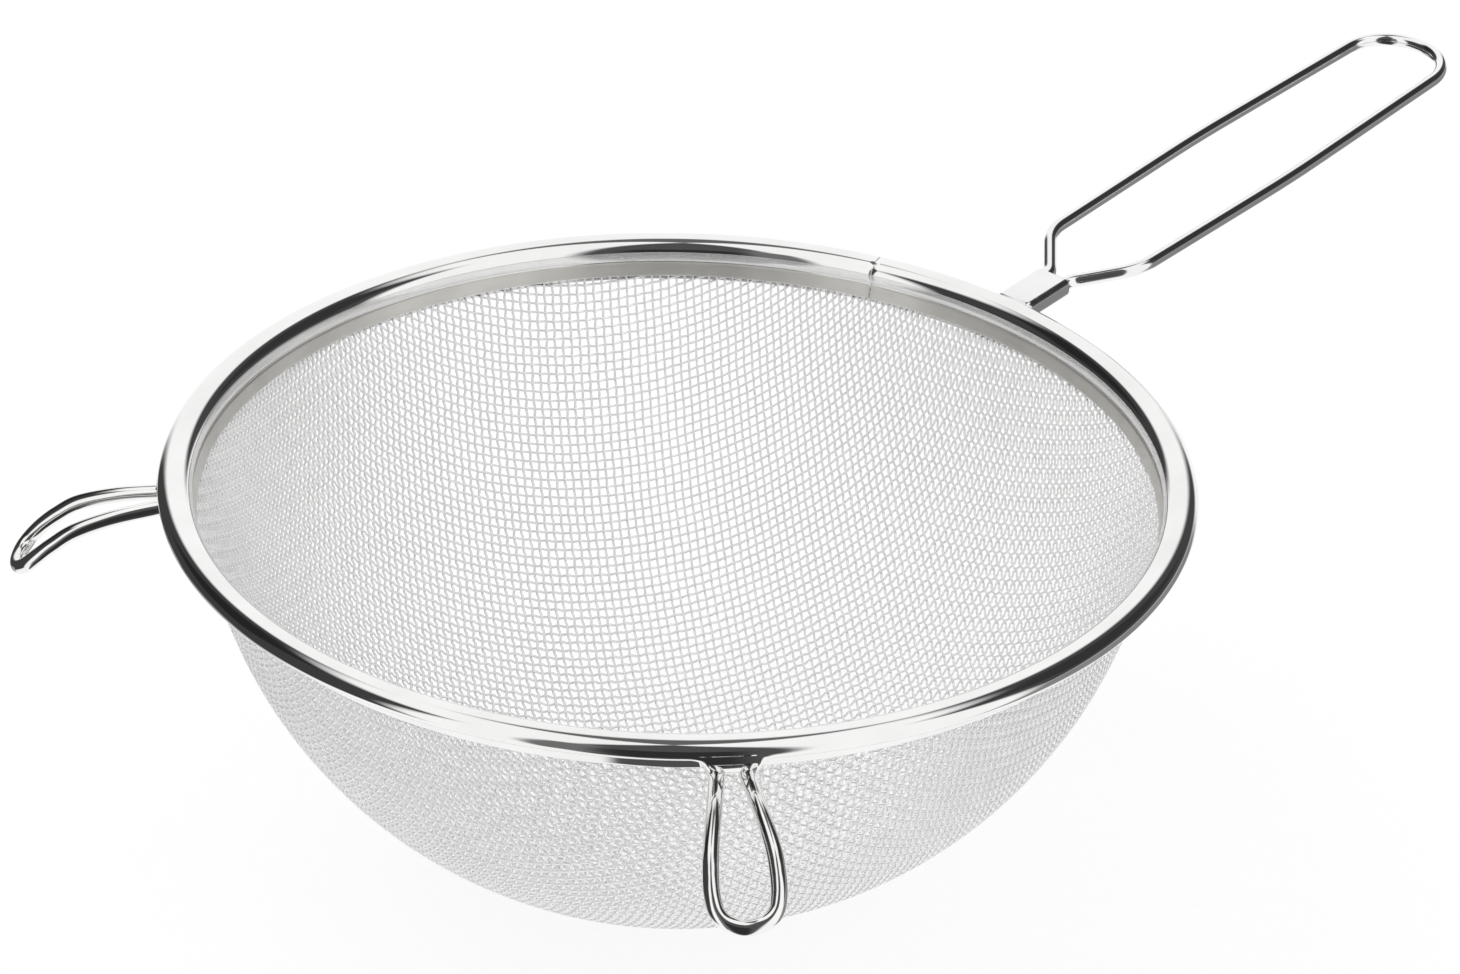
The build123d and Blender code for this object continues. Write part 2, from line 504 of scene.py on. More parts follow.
@dataclass
class ClothBowl:
    """Bowl of plain-woven wire, pulled from a flat square cloth over a round form.

    Two wires cross at the bottom and run straight up the wall. Every mesh of the cloth
    keeps the length of its four sides and only its corners turn, so the meshes lean over
    between those two wires. The net is worked out a little past the rim and then cut.
    """

    radius: float = 101.6
    middle_height: float = BALL_HEIGHT
    lean: float = WALL_LEAN
    wall_length: float = 42.0
    pitch_up: float = 2.0
    pitch_across: float = 1.9
    wire: float = 0.54
    sides: int = 6
    bend: float = 0.24
    turn: float = math.radians(54.0)
    cut_height: float = RIM_HEIGHT - 3.4
    net_height: float = BALL_HEIGHT + 4.0
    closeness: float = 1e-3
    rounds: int = 8
    groups: int = 4
    seed: int = 7
    ripple: float = 0.07
    ripple_lengths: Tuple[float, ...] = (5.0, 8.0, 13.0, 29.0)
    ripple_start: float = 6.28

    def wall(self, points: np.ndarray) -> Tuple[np.ndarray, np.ndarray]:
        """Distance of points from the middle of the cloth, and the direction out of it.

        Args:
            points: Points in millimetres.

        Returns:
            Distances, and unit vectors that point out of the bowl.
        """
        reach = np.hypot(points[..., 0], points[..., 1])
        height = points[..., 2] - self.middle_height
        span = np.sqrt(reach**2 + height**2)
        lean_sin, lean_cos = math.sin(self.lean), math.cos(self.lean)
        on_cone = reach * lean_sin + height * lean_cos > 0
        distance = np.where(on_cone, reach * lean_cos - height * lean_sin, span) - self.radius
        flat = points[..., :2] / np.maximum(reach, TINY)[..., None]
        fall = np.full(reach.shape + (1,), -lean_sin)
        cone = np.concatenate([flat * lean_cos, fall], axis=-1)
        ball = np.concatenate([points[..., :2], height[..., None]], axis=-1) / span[..., None]
        return distance, np.where(on_cone[..., None], cone, ball)

    def upright(self, lengths: np.ndarray) -> Tuple[np.ndarray, np.ndarray]:
        """Reach and height along a wire that runs straight up the wall.

        Args:
            lengths: Lengths of wire from the bottom of the bowl.

        Returns:
            Distances from the bowl's axis, and heights.
        """
        round_length = self.radius * (math.pi / 2 - self.lean)
        beyond = np.maximum(lengths - round_length, 0.0)
        angle = np.minimum(lengths, round_length) / self.radius
        reach = self.radius * np.sin(angle) + beyond * math.sin(self.lean)
        height = self.middle_height - self.radius * np.cos(angle) + beyond * math.cos(self.lean)
        return reach, height

    def quarter(self) -> np.ndarray:
        """Crossings of the wires in one quarter of the bowl.

        The two wires through the bottom come first. Each further crossing keeps its
        distances from the crossings beside and below it, and lies on the wall.

        Returns:
            Crossing points, by the number of steps up and the number of steps across.
        """
        length = self.radius * (math.pi / 2 - self.lean) + self.wall_length
        rows = int(length / self.pitch_up)
        columns = int(length / self.pitch_across)
        net = np.full((rows, columns, 3), np.nan)
        reach, height = self.upright(np.arange(rows) * self.pitch_up)
        net[:, 0] = np.stack([reach, 0 * reach, height], axis=-1)
        reach, height = self.upright(np.arange(columns) * self.pitch_across)
        net[0, :] = np.stack([0 * reach, reach, height], axis=-1)
        for diagonal in range(2, rows + columns - 1):
            row = np.arange(max(1, diagonal - columns + 1), min(rows - 1, diagonal - 1) + 1)
            column = diagonal - row
            beside, below = net[row - 1, column], net[row, column - 1]
            guess = beside + below - net[row - 1, column - 1]
            for _ in range(self.rounds):
                distance, out = self.wall(guess)
                from_beside, from_below = guess - beside, guess - below
                slopes = np.stack([2 * from_beside, 2 * from_below, out], axis=-2)
                misses = np.stack(
                    [
                        (from_beside**2).sum(-1) - self.pitch_up**2,
                        (from_below**2).sum(-1) - self.pitch_across**2,
                        distance,
                    ],
                    axis=-1,
                )
                volume = np.abs(np.linalg.det(np.nan_to_num(slopes)))
                sound = np.isfinite(guess).all(-1) & (volume > TINY)
                guess[sound] -= np.linalg.solve(slopes[sound], misses[sound][..., None])[..., 0]
                guess[~sound] = np.nan
            on_wall = np.abs(self.wall(guess)[0]) < self.closeness
            guess[~on_wall | (guess[:, 2] > self.net_height)] = np.nan
            net[row, column] = guess
        return net

    def crossings(self) -> np.ndarray:
        """Crossings of all the wires, with the small unevenness of a pressed cloth.

        Returns:
            Crossing points over the whole bowl, by step up and step across.
        """
        net = self.quarter()
        rows = np.arange(1 - len(net), len(net))
        columns = np.arange(1 - net.shape[1], net.shape[1])
        whole = net[np.abs(rows)][:, np.abs(columns)].copy()
        whole[..., 0] *= np.where(rows < 0, -1.0, 1.0)[:, None]
        whole[..., 1] *= np.where(columns < 0, -1.0, 1.0)[None, :]
        cosine, sine = math.cos(self.turn), math.sin(self.turn)
        turned = whole.copy()
        turned[..., 0] = whole[..., 0] * cosine - whole[..., 1] * sine
        turned[..., 1] = whole[..., 0] * sine + whole[..., 1] * cosine
        turned[..., 2] = np.maximum(turned[..., 2], self.wire)
        chance = np.random.default_rng(self.seed)
        drift = np.zeros_like(turned)
        for length in self.ripple_lengths:
            for axis in range(3):
                heading = chance.normal(size=3)
                heading *= 2 * math.pi / (length * np.linalg.norm(heading))
                start = chance.uniform(0, self.ripple_start)
                drift[..., axis] += np.sin(turned @ heading + start)
        _, out = self.wall(turned)
        drift -= out * (drift * out).sum(-1, keepdims=True)
        return turned + drift * self.ripple / 2

    def wires(
        self, net: np.ndarray, over: int, name: str, numbers: np.ndarray
    ) -> bpy.types.Object:
        """Makes some of the wires that run along the net's first direction.

        A wire keeps to one side of the cloth round each crossing, and changes sides on the
        straight stretch to the next one.

        Args:
            net: Crossing points, by step along the wires and by wire.
            over: 1 or -1, for passing outside or inside at even crossings.
            name: Name of the piece.
            numbers: Which wires to make.

        Returns:
            The wires, as one object.
        """
        lines = np.swapaxes(net[:, numbers], 0, 1)
        steps = np.arange(net.shape[0])
        lift = np.where((steps[None] + numbers[:, None]) % 2 == 0, over, -over) * self.wire / 2
        near, far = lines[:, :-1], lines[:, 1:]
        stretch = (far - near) * self.bend
        middle = np.stack([near + stretch, far - stretch], axis=2)
        raised = np.stack([lift[:, :-1], lift[:, 1:]], axis=2)
        middle = middle.reshape(len(numbers), -1, 3)
        raised = raised.reshape(len(numbers), -1)
        _, out = self.wall(middle)
        middle = middle + out * raised[..., None]
        kept = np.nan_to_num(middle[..., 2], nan=np.inf) <= self.cut_height
        run = np.full_like(middle, np.nan)
        run[:, 1:-1] = middle[:, 2:] - middle[:, :-2]
        run[:, 0] = middle[:, 1] - middle[:, 0]
        run[:, -1] = middle[:, -1] - middle[:, -2]
        lone = ~np.isfinite(run[..., 0])
        run[:, :-1][lone[:, :-1]] = (middle[:, 1:] - middle[:, :-1])[lone[:, :-1]]
        kept &= np.isfinite(run[..., 0])
        run = unit(run)
        side = unit(np.cross(out, run))
        up = np.cross(run, side)
        turns = 2 * math.pi * (np.arange(self.sides)[:, None] + 0.5) / self.sides
        shape = np.cos(turns) * side[..., None, :] + np.sin(turns) * up[..., None, :]
        rings = middle[..., None, :] + shape * (self.wire / 2)
        order = np.cumsum(kept.reshape(-1)).reshape(kept.shape) - 1
        joined = kept[:, :-1] & kept[:, 1:]
        rows = np.stack([order[:, :-1][joined], order[:, 1:][joined]], axis=1)
        return surface_of(name, rings[kept].reshape(-1, 3), ring_quads(rows, self.sides))

    def build(self) -> List[bpy.types.Object]:
        """Makes the cloth as a few pieces for each direction of wire.

        Returns:
            The pieces, each with about the same length of wire.
        """
        net = self.crossings()
        material = CLOTH_WIRE.material()
        pieces = []
        for label, way, over in (("up", net, 1), ("across", np.swapaxes(net, 0, 1), -1)):
            numbers = np.arange(way.shape[1])
            sizes = np.isfinite(way[..., 0]).sum(axis=0)
            share = np.cumsum(sizes) / sizes.sum()
            limits = np.linspace(0.0, 1.0 + TINY, self.groups + 1)
            for group, (low, high) in enumerate(zip(limits, limits[1:]), start=1):
                chosen = numbers[(share > low) & (share <= high)]
                piece = self.wires(way, over, f"cloth_wires_{label}_{group}", chosen)
                dress(piece, "mesh_bowl", material)
                pieces.append(piece)
        return pieces


# ---------------------------------------------------------------- rim


@dataclass
class RimBand:
    """Folded sheet rim: an oval bead, and a skirt on each side of the cloth.

    Two hoods swell out of the bead over the legs of the rest loops. Insets go in from the
    bowl's outer face. Angles round the bead are 0 at its outer side, 90 at its top and 180
    at its inner side.
    """

    bowl_radius: float = 102.0
    middle_height: float = BALL_HEIGHT
    lean: float = WALL_LEAN
    sheet: float = 0.5
    bead_middle: float = 106.3
    bead_width: float = 7.4
    bead_height: float = 4.7
    bead_angles: Tuple[float, float] = (208.0, -112.0)
    bead_points: int = 60
    inner_sink: float = 0.6
    inner_belly: float = 4.2
    crease_drop: float = 2.6
    inner_drop: float = 5.6
    inner_inset: float = 0.9
    inner_points: int = 5
    skirt_faces: int = 8
    outer_top: float = 2.5
    outer_drop: float = 6.9
    outer_inset: float = -0.1
    outer_points: int = 12
    under_top: float = 2.2
    under_points: int = 10
    steps: int = 540
    joint: float = 17.5
    joint_gap: float = 0.2
    joint_bevel: float = 0.04
    end_shrink: float = 0.995
    shrink_offset: Tuple[float, float] = (-0.6, 0.6)
    hood_azimuths: Tuple[float, float] = (132.0, -132.0)
    hood_half_width: float = 5.2
    hood_narrowing: float = 0.5
    hood_fade: float = 4.0
    hood_sharpening: float = 2.8
    hood_start: float = 0.68
    hood_shoulder: Tuple[float, float] = (111.4, 2.8)
    hood_lip: Tuple[float, float] = (107.9, 5.4)
    hood_back: float = 0.5
    hood_reach: float = 6.0
    hood_step: float = 0.15
    least_step: float = 0.1

    def wall_reach(self, drop: float, inset: float) -> float:
        """Distance from the axis of a line along the wall, at a drop below the bead."""
        depth = self.middle_height - RIM_HEIGHT + drop
        return (self.bowl_radius - inset - depth * math.sin(self.lean)) / math.cos(self.lean)

    def section(self) -> np.ndarray:
        """Outline of the folded sheet, once round.

        Returns:
            Points as reach and drop, up the inner skirt's inner face, over the bead, down
            and up the outer skirt, and down the inner skirt's face next to the cloth.
        """
        half = self.sheet / 2
        points: List[Tuple[float, float]] = []

        def along(inset: float, start: float, end: float, count: int) -> None:
            """Adds points on a line parallel to the wall."""
            for drop in np.linspace(start, end, count):
                points.append((self.wall_reach(drop, inset), drop))

        def edge(inset: float, drop: float) -> None:
            """Adds the rounded lower edge of a skirt.

            Args:
                inset: Inset of the middle of the sheet.
                drop: Drop at which the edge begins.
            """
            for angle in EDGE_ANGLES:
                turn = math.radians(angle)
                low = drop + half * math.sin(turn)
                points.append((self.wall_reach(low, inset - half * math.cos(turn)), low))

        inner_end, outer_end = self.inner_drop - half, self.outer_drop - half
        along(self.inner_inset + self.sheet, inner_end, self.crease_drop, self.skirt_faces)
        for angle in np.linspace(*self.bead_angles, self.bead_points):
            turn = math.radians(angle)
            sink = self.inner_sink if angle > 90.0 else 0.0
            height = self.inner_belly if angle > 180.0 else self.bead_height / 2 + sink
            reach = self.bead_middle + self.bead_width / 2 * math.cos(turn)
            points.append((reach, sink - height * math.sin(turn)))
        along(self.outer_inset - self.sheet, self.outer_top, outer_end, self.outer_points)
        edge(self.outer_inset - half, outer_end)
        along(self.outer_inset, outer_end, self.under_top, self.under_points)
        along(self.inner_inset, self.under_top, inner_end, self.inner_points)
        edge(self.inner_inset + half, inner_end)
        return np.array(points)

    def hood(self, azimuths: np.ndarray, lengths: np.ndarray) -> np.ndarray:
        """How far the hoods stand out, from 0 to 1.

        Args:
            azimuths: Azimuths round the rim.
            lengths: Shares of the way from the bead's side down to the lip.

        Returns:
            Shares, by azimuth and length.
        """
        share = np.zeros((len(azimuths), len(lengths)))
        half_width = self.hood_half_width - self.hood_narrowing * lengths
        width = self.hood_fade - self.hood_sharpening * lengths
        for middle in self.hood_azimuths:
            away = (azimuths - middle + 180.0) % 360.0 - 180.0
            side = np.abs(np.radians(away)) * self.bead_middle
            fade = np.clip((side[:, None] - half_width) / width, 0.0, 1.0)
            share = np.maximum(share, 0.5 + 0.5 * np.cos(math.pi * fade))
        return share

    def hood_outline(self, outline: np.ndarray) -> Tuple[np.ndarray, np.ndarray]:
        """Outline of the folded sheet where a hood swells out of the bead.

        Args:
            outline: The plain outline, as reach and drop.

        Returns:
            The swollen outline, and for each point its share of the way down to the lip.
        """
        first = self.skirt_faces + int(self.bead_points * self.hood_start)
        lip = self.skirt_faces + self.bead_points + self.outer_points - 1
        under = lip + 1 + len(EDGE_ANGLES)
        shoulder, end = np.array(self.hood_shoulder), np.array(self.hood_lip)

        def curve(share: np.ndarray) -> np.ndarray:
            """Points on the hood's outer face, from the bead's side to the lip."""
            rest = 1 - share
            weights = np.stack([rest**2, 2 * share * rest, share**2], axis=1)
            return weights @ np.stack([outline[first], shoulder, end])

        swollen = outline.copy()
        lengths = np.zeros(len(outline))
        down = np.linspace(0.0, 1.0, lip - first + 1)
        swollen[first : lip + 1] = curve(down)
        lengths[first : lip + 1] = down
        half = self.sheet / 2
        for step, angle in enumerate(EDGE_ANGLES, start=lip + 1):
            turn = math.radians(angle)
            swollen[step] = end + (half * math.cos(turn) - half, half * math.sin(turn))
            lengths[step] = 1.0
        back = np.linspace(1.0, self.hood_back, self.under_points)
        swollen[under : under + self.under_points] = curve(back) - (self.sheet, 0.0)
        lengths[under : under + self.under_points] = back
        return swollen, lengths

    def azimuths(self, bevel: float) -> np.ndarray:
        """Azimuths of the rim's sections, closer together at the hoods.

        Args:
            bevel: Angle that the bevel at each side of the joint takes up.

        Returns:
            Azimuths from one side of the joint round to the other.
        """
        gap = math.degrees(self.joint_gap / 2 / self.bead_middle) + bevel
        even = np.linspace(self.joint + gap, self.joint + 360.0 - gap, self.steps)
        fine = np.arange(-self.hood_reach, self.hood_reach + self.hood_step / 2, self.hood_step)
        near_hoods = [fine + middle % 360.0 for middle in self.hood_azimuths]
        turns = np.unique(np.round(np.concatenate([even, *near_hoods]), 4))
        turns = turns[(turns >= even[0]) & (turns <= even[-1])]
        turns = turns[np.concatenate([[True], np.diff(turns) > self.least_step])]
        return np.concatenate([[even[0] - bevel], turns, [even[-1] + bevel]])

    def build(self) -> bpy.types.Object:
        """Makes the rim, open at its butt joint, with the inner skirt in a duller finish and a
        darker colour that is painted shade.

        Returns:
            The rim.
        """
        outline = self.section()
        swollen, lengths = self.hood_outline(outline)
        azimuths = self.azimuths(math.degrees(self.joint_bevel / self.bead_middle))
        bent = outline + self.hood(azimuths, lengths)[..., None] * (swollen - outline)
        centre = np.array([self.bead_middle, 0.0]) + self.shrink_offset
        bent[[0, -1]] += (centre - bent[[0, -1]]) * (1 - self.end_shrink)
        reach, drop = bent[..., 0], bent[..., 1]
        turn = np.radians(azimuths)[:, None]
        rings = np.stack([reach * np.cos(turn), reach * np.sin(turn), RIM_HEIGHT - drop], axis=-1)
        piece = capped("rim_folded_band", rings)
        dress(piece, "rim_band", RIM_SHEET.material())
        # Second material for the inner skirt: rougher, and darker in colour as painted shade under
        # the bead
        piece.data.materials.append(DULL_SHADED_SKIRT_SHEET.material())
        dull_and_shaded_faces = np.zeros(len(piece.data.polygons), dtype=np.int32)
        # The two faces that close the ends at the joint come last
        dull_and_shaded_faces[:-2].reshape(-1, len(outline))[:, : self.skirt_faces] = 1
        piece.data.polygons.foreach_set("material_index", dull_and_shaded_faces)
        return piece


# ---------------------------------------------------------------- handle


@dataclass
class Handle:
    """One wire from the sleeve round to the sleeve again, and the flat sleeve.

    The wire's corners are given as reach, side and lift above its rising line. The
    sleeve's rings are given as reach and inset, from its root along the outer face, round
    the end and back along the inner face.
    """

    wire: float = 3.0
    rise: float = math.tan(math.radians(4.24))
    rise_start: float = 110.0
    start: float = 110.2
    root_drop: float = 1.35
    root_half: float = 2.6
    corners: Tuple[Tuple[float, float, float], ...] = (
        (126.5, 2.6, 0.0),
        (138.8, 12.9, 1.43),
        (192.0, 13.95, 1.43),
        (258.4, 12.0, 1.43),
    )
    radii: Tuple[float, ...] = (4.5, 12.0, 400.0, 11.6)
    step: float = 0.8
    sleeve_width: float = 9.6
    sleeve_height: float = 4.4
    sleeve_corner: float = 1.7
    least_corner: float = 0.3
    corner_points: int = 8
    sleeve_rings: Tuple[Tuple[float, float], ...] = (
        (107.6, 0.0),
        (112.0, 0.0),
        (118.0, 0.0),
        (123.9, 0.0),
        (124.35, 0.08),
        (124.6, 0.25),
        (124.6, 0.42),
        (124.3, 0.6),
        (118.0, 0.6),
        (108.0, 0.6),
    )

    def height(self, reach: float, lift: float) -> float:
        """Height of the handle's middle line at a reach, with a lift of its own."""
        return RIM_HEIGHT - self.root_drop + self.rise * (reach - self.rise_start) + lift

    def wire_path(self) -> np.ndarray:
        """Middle line of the handle wire.

        Returns:
            Points from the end of one leg round to the end of the other.
        """
        leg = [(self.start, self.root_half, self.height(self.start, 0.0))]
        leg += [(reach, side, self.height(reach, lift)) for reach, side, lift in self.corners]
        there = np.array(leg)
        back = there[::-1] * (1.0, -1.0, 1.0)
        return bent_path(np.concatenate([there, back]), self.radii + self.radii[::-1], self.step)

    def build_wire(self) -> bpy.types.Object:
        """Makes the handle wire.

        Returns:
            The wire.
        """
        piece = tube("handle_wire_loop", self.wire_path(), self.wire / 2)
        dress(piece, "handle_loop", HANDLE_WIRE.material())
        return piece

    def sleeve_outline(self, inset: float) -> np.ndarray:
        """Outline of the sleeve across the handle, at an inset from its outer face.

        Args:
            inset: Distance in from the outer face.

        Returns:
            Points as side and height.
        """
        corner = max(self.sleeve_corner - inset, self.least_corner)
        half = np.array([self.sleeve_width, self.sleeve_height]) / 2 - inset - corner
        points = []
        for quarter, signs in enumerate(((1, 1), (-1, 1), (-1, -1), (1, -1))):
            turns = np.radians(np.linspace(0.0, 90.0, self.corner_points) + 90.0 * quarter)
            points.append(half * signs + corner * np.stack([np.cos(turns), np.sin(turns)], axis=1))
        return np.concatenate(points)

    def build_sleeve(self) -> bpy.types.Object:
        """Makes the flat sleeve round both wires.

        Returns:
            The sleeve.
        """
        rings = []
        for reach, inset in self.sleeve_rings:
            side, over = self.sleeve_outline(inset).T
            along = np.full(len(side), reach)
            rings.append(np.stack([along, side, self.height(reach, 0.0) + over], axis=1))
        ring = np.arange(len(rings))
        quads = ring_quads(np.stack([ring, np.roll(ring, -1)], axis=1), len(rings[0]))
        piece = surface_of("handle_flat_sleeve", np.concatenate(rings), quads)
        dress(piece, "handle_sleeve", SLEEVE_SHEET.material())
        return piece


# ---------------------------------------------------------------- rest loops


@dataclass
class RestLoop:
    """Small wire loop out of the rim, bent down at its tip.

    Its leg and tip are given as reach, side and drop. The right loop is a little shorter
    from the point where the hook starts.
    """

    side: Side
    azimuth: float = 132.0
    wire: float = 3.4
    smoothing: int = 10
    hook_start: int = 3
    right_hook_share: float = 0.94
    leg: Tuple[Tuple[float, float, float], ...] = (
        (103.6, 2.7, 5.5),
        (107.0, 3.05, 6.4),
        (110.3, 3.55, 7.15),
        (119.2, 4.95, 8.85),
        (127.2, 6.2, 11.5),
        (132.0, 6.65, 14.7),
        (135.3, 6.6, 17.5),
        (137.85, 5.8, 20.05),
        (139.55, 3.7, 21.75),
    )
    tip: Tuple[float, float, float] = (140.25, 0.0, 22.45)

    def path(self) -> np.ndarray:
        """Middle line of the loop.

        Returns:
            Points from the end of one leg round to the end of the other.
        """
        there = np.array(self.leg)
        back = there[::-1] * (1.0, -1.0, 1.0)
        corners = np.concatenate([there, [self.tip], back])
        if self.side is Side.RIGHT:
            start = there[self.hook_start]
            hook = corners[self.hook_start : -self.hook_start]
            for part in (0, 2):
                hook[:, part] += (start[part] - hook[:, part]) * (1 - self.right_hook_share)
        line = rounded(corners, self.smoothing)
        turn = math.radians(self.azimuth * self.side.value)
        x = line[:, 0] * math.cos(turn) - line[:, 1] * math.sin(turn)
        y = line[:, 0] * math.sin(turn) + line[:, 1] * math.cos(turn)
        return np.stack([x, y, RIM_HEIGHT - line[:, 2]], axis=1)

    def build(self, material: bpy.types.Material) -> bpy.types.Object:
        """Makes the loop.

        Args:
            material: Finish that both loops share.

        Returns:
            The loop.
        """
        label = self.side.name.lower()
        piece = tube(f"rest_wire_loop_{label}", self.path(), self.wire / 2)
        dress(piece, f"rest_loop_{label}", material)
        return piece


# ---------------------------------------------------------------- studio


@dataclass(frozen=True)
class Panel:
    """A part of the studio's lining, as bright or dark as its level, with soft edges.

    Azimuths and elevations are in degrees, seen from the middle of the floor.
    """

    azimuth: float
    half_width: float
    low: float
    high: float
    level: float
    soft: float


@dataclass
class Studio:
    """Pale floor, white surroundings, and a lining of light and dark panels.

    The lining shows only in the polished steel, as the dark gaps between the white panels
    of a light tent do. The camera was fitted to the photograph: its focal length and the
    photograph's width are in pixels, its distance and shifts in millimetres from the
    middle of the rim, and its angles in radians.
    """

    lining_radius: float = 3.2
    lining_rows: int = 48
    lining_columns: int = 96
    floor_reaches: Tuple[float, float] = (0.5, 3.0)
    floor_sides: int = 96
    floor_greys: Tuple[float, float] = (0.97, 0.99)
    floor_cloud: float = 3.0
    floor_glow: float = 0.8
    daylight: float = 0.98
    lamp_place: Tuple[float, float, float] = (-0.4, 0.9, 1.6)
    lamp_width: float = 1.2
    lamp_power: float = 6.0
    focal: float = 7006.94
    photo_width: float = 1460.0
    sensor: float = 36.0
    view_range: Tuple[float, float] = (0.05, 50.0)
    azimuth: float = math.radians(48.88)
    elevation: float = 0.5213
    roll: float = 0.0257
    distance: float = 1482.2
    shift_right: float = -10.87
    shift_up: float = 1.45
    panels: List[Panel] = field(
        default_factory=lambda: [
            Panel(-30.0, 32.0, -45.0, 8.0, 0.24, 5.0),
            Panel(-20.0, 40.0, 9.0, 60.0, 0.06, 5.0),
            Panel(-22.0, 24.0, 24.0, 56.0, 0.035, 4.0),
            Panel(40.0, 22.0, 58.0, 96.0, 0.13, 4.0),
            Panel(116.0, 47.0, -40.0, 54.0, 0.05, 5.0),
            Panel(103.0, 18.0, 20.0, 50.0, 0.02, 4.0),
            Panel(92.0, 14.0, -48.0, -24.0, 0.4, 5.0),
            Panel(-138.0, 25.0, -96.0, 96.0, 0.08, 4.0),
            Panel(-138.0, 14.0, -60.0, 32.0, 0.03, 4.0),
            Panel(-162.0, 7.0, -40.0, 50.0, 0.17, 3.0),
        ]
    )

    def lining(self) -> bpy.types.Object:
        """Makes the lining as a large ball that only reflections see.

        Returns:
            The lining.
        """
        rise = np.linspace(-math.pi / 2, math.pi / 2, self.lining_rows)[:, None]
        turn = 2 * math.pi * np.arange(self.lining_columns) / self.lining_columns
        flat = np.cos(rise)
        parts = (flat * np.cos(turn), flat * np.sin(turn), np.sin(rise) + 0 * turn)
        points = np.stack(parts, axis=-1).reshape(-1, 3) * self.lining_radius / MM
        quads = ring_quads(neighbours(self.lining_rows), self.lining_columns)
        ball = surface_of("studio_lining", points, quads)
        material, bench = new_material("studio_lining")
        place = bench.add("ShaderNodeTexCoord").outputs["Object"]
        split = bench.add("ShaderNodeSeparateXYZ", {"Vector": place})
        azimuth = bench.math("ARCTAN2", split.outputs["Y"], split.outputs["X"])
        azimuth = bench.math("DEGREES", azimuth)
        height = bench.math("DIVIDE", split.outputs["Z"], self.lining_radius)
        elevation = bench.math("DEGREES", bench.math("ARCSINE", height))
        level: object = 1.0
        for panel in self.panels:
            level = self.layer(bench, panel, azimuth, elevation, level)
        glow = bench.add("ShaderNodeEmission", {"Strength": level})
        bench.add("ShaderNodeOutputMaterial", {"Surface": glow.outputs["Emission"]})
        ball.data.materials.append(material)
        ball.visible_camera = False
        ball.visible_diffuse = False
        ball.visible_shadow = False
        return ball

    def layer(
        self,
        bench: NodeBench,
        panel: Panel,
        azimuth: bpy.types.NodeSocket,
        elevation: bpy.types.NodeSocket,
        level: object,
    ) -> bpy.types.NodeSocket:
        """Lays one panel over the lining.

        Args:
            bench: The bench that holds the lining's material.
            panel: The panel.
            azimuth: Azimuth of the point on the lining, in degrees.
            elevation: Elevation of the point on the lining, in degrees.
            level: Brightness of the lining so far, as a socket or a number.

        Returns:
            Brightness of the lining with the panel.
        """
        soft = panel.soft
        away = bench.math("WRAP", bench.math("SUBTRACT", azimuth, panel.azimuth), 180.0, -180.0)
        away = bench.math("ABSOLUTE", away)
        beside = self.fade(bench, away, panel.half_width + soft, panel.half_width - soft)
        above = self.fade(bench, elevation, panel.low - soft, panel.low + soft)
        below = self.fade(bench, elevation, panel.high + soft, panel.high - soft)
        share = bench.math("MULTIPLY", beside, bench.math("MULTIPLY", above, below))
        inputs = {"Factor": share, "A": level, "B": panel.level}
        return bench.add("ShaderNodeMix", inputs, data_type="FLOAT").outputs["Result"]

    @staticmethod
    def fade(
        bench: NodeBench, value: bpy.types.NodeSocket, start: float, end: float
    ) -> bpy.types.NodeSocket:
        """Share that changes smoothly from 0 at the start to 1 at the end.

        Args:
            bench: The bench that holds the material.
            value: The angle that is tested.
            start: Angle where the share is 0, which may be the larger one.
            end: Angle where the share is 1.

        Returns:
            The share.
        """
        inputs = {
            "Value": value,
            "From Min": min(start, end),
            "From Max": max(start, end),
            "To Min": float(start > end),
            "To Max": float(start < end),
        }
        node = bench.add("ShaderNodeMapRange", inputs, interpolation_type="SMOOTHSTEP")
        return node.outputs["Result"]

    def floor(self) -> bpy.types.Object:
        """Makes the floor, nearly white to the eye, with the object's soft shadow.

        Returns:
            The floor.
        """
        turn = 2 * math.pi * np.arange(self.floor_sides) / self.floor_sides
        circle = np.stack([np.cos(turn), np.sin(turn), 0 * turn], axis=1) / MM
        points = np.concatenate([circle * reach for reach in self.floor_reaches])
        outward = ring_quads(np.array([[1, 0]]), self.floor_sides)
        plate = surface_of("studio_floor", points, outward, [range(self.floor_sides)])
        material, bench = new_material("studio_floor")
        grain = bench.add("ShaderNodeTexNoise", {"Scale": self.floor_cloud})
        shade = bench.add("ShaderNodeValToRGB", {"Fac": grain.outputs["Fac"]})
        for stop, grey in zip(shade.color_ramp.elements, self.floor_greys):
            stop.color = (grey, grey, grey, 1.0)
        paint = bench.add("ShaderNodeBsdfDiffuse", {"Color": shade.outputs["Color"]})
        glow = bench.add("ShaderNodeEmission", {"Strength": 1.0})
        share = bench.math("MULTIPLY", bench.in_sight(), self.floor_glow)
        mix = bench.add(
            "ShaderNodeMixShader",
            {0: share, 1: paint.outputs["BSDF"], 2: glow.outputs["Emission"]},
        )
        bench.add("ShaderNodeOutputMaterial", {"Surface": mix.outputs["Shader"]})
        plate.data.materials.append(material)
        plate.visible_glossy = False
        return plate

    def surroundings(self) -> None:
        """Lights the scene evenly, and shows the eye and the steel a white background."""
        world = bpy.data.worlds.new("studio")
        bpy.context.scene.world = world
        world.use_nodes = True
        bench = NodeBench(world.node_tree)
        lights = [
            bench.add("ShaderNodeBackground", {"Color": WHITE, "Strength": strength})
            for strength in (self.daylight, 1.0)
        ]
        mix = bench.add(
            "ShaderNodeMixShader",
            {0: bench.in_sight(), 1: lights[0].outputs[0], 2: lights[1].outputs[0]},
        )
        bench.add("ShaderNodeOutputWorld", {"Surface": mix.outputs["Shader"]})

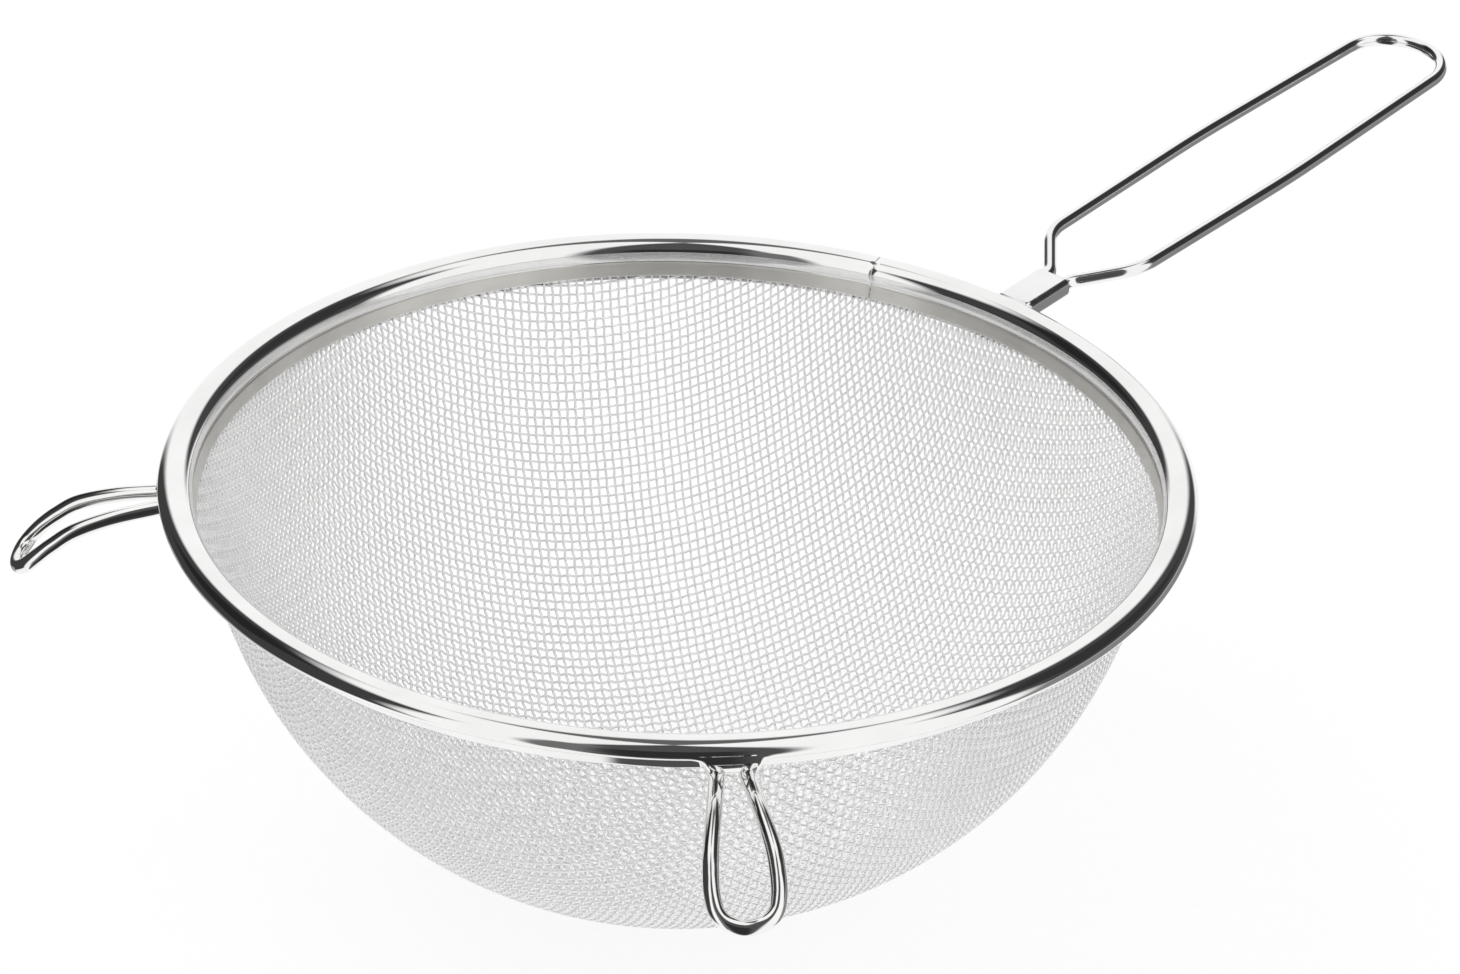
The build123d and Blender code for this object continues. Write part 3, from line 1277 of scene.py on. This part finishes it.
    def camera(self) -> bpy.types.Object:
        """Makes the camera at the photograph's viewing angle.

        Returns:
            The camera.
        """
        back = Vector((0.0, -math.cos(self.elevation), math.sin(self.elevation)))
        right = Vector((1.0, 0.0, 0.0))
        up = back.cross(right)
        cosine, sine = math.cos(self.roll), math.sin(self.roll)
        rolled_right = right * cosine + up * sine
        rolled_up = up * cosine - right * sine
        place = back * self.distance - rolled_right * self.shift_right - rolled_up * self.shift_up
        turn = Matrix.Rotation(-self.azimuth, 3, "Z")
        axes = [turn @ axis for axis in (rolled_right, rolled_up, back)]
        stand = Matrix(axes).transposed().to_4x4()
        stand.translation = (turn @ place + Vector((0.0, 0.0, RIM_HEIGHT))) * MM
        data = bpy.data.cameras.new("photo_view")
        data.sensor_fit = "HORIZONTAL"
        data.sensor_width = self.sensor
        data.lens = self.sensor * self.focal / self.photo_width
        data.clip_start, data.clip_end = self.view_range
        eye = bpy.data.objects.new("photo_view", data)
        eye.matrix_world = stand
        bpy.context.collection.objects.link(eye)
        bpy.context.scene.camera = eye
        return eye

    def lamp(self) -> bpy.types.Object:
        """Hangs one large soft lamp, turned to the strainer.

        Returns:
            The lamp.
        """
        data = bpy.data.lights.new("soft_lamp", "AREA")
        data.shape = "DISK"
        data.size = self.lamp_width
        data.energy = self.lamp_power
        light = bpy.data.objects.new("soft_lamp", data)
        place = Vector(self.lamp_place)
        light.location = place
        light.rotation_euler = place.to_track_quat("Z", "Y").to_euler()
        light.visible_camera = False
        light.visible_glossy = False
        bpy.context.collection.objects.link(light)
        return light

    def build(self) -> None:
        """Sets up the floor, the lining, the light and the camera."""
        self.floor()
        self.lining()
        self.surroundings()
        self.lamp()
        self.camera()
        bpy.context.scene.view_settings.view_transform = "Standard"


# ---------------------------------------------------------------- whole object


def finish_ring(frame: dict) -> None:
    """Gives the stiffening ring inside the bead its own steel finish.

    Args:
        frame: What the frame holds.
    """
    ring = frame["nodes"]["rim_ring"]
    material = RING_WIRE.material()
    for slot in ring.material_slots:
        slot.link = "OBJECT"
        slot.material = material
    log.info("rim_ring: kept, with a new finish")


def main() -> None:
    """Builds the strainer in order, from the frame to the studio."""
    logging.basicConfig(level=logging.INFO, format="%(message)s")
    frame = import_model()
    ClothBowl().build()
    RimBand().build()
    handle = Handle()
    handle.build_wire()
    handle.build_sleeve()
    loops = LOOP_WIRE.material()
    for side in Side:
        RestLoop(side=side).build(loops)
    finish_ring(frame)
    Studio().build()


if __name__ == "__main__":
    main()
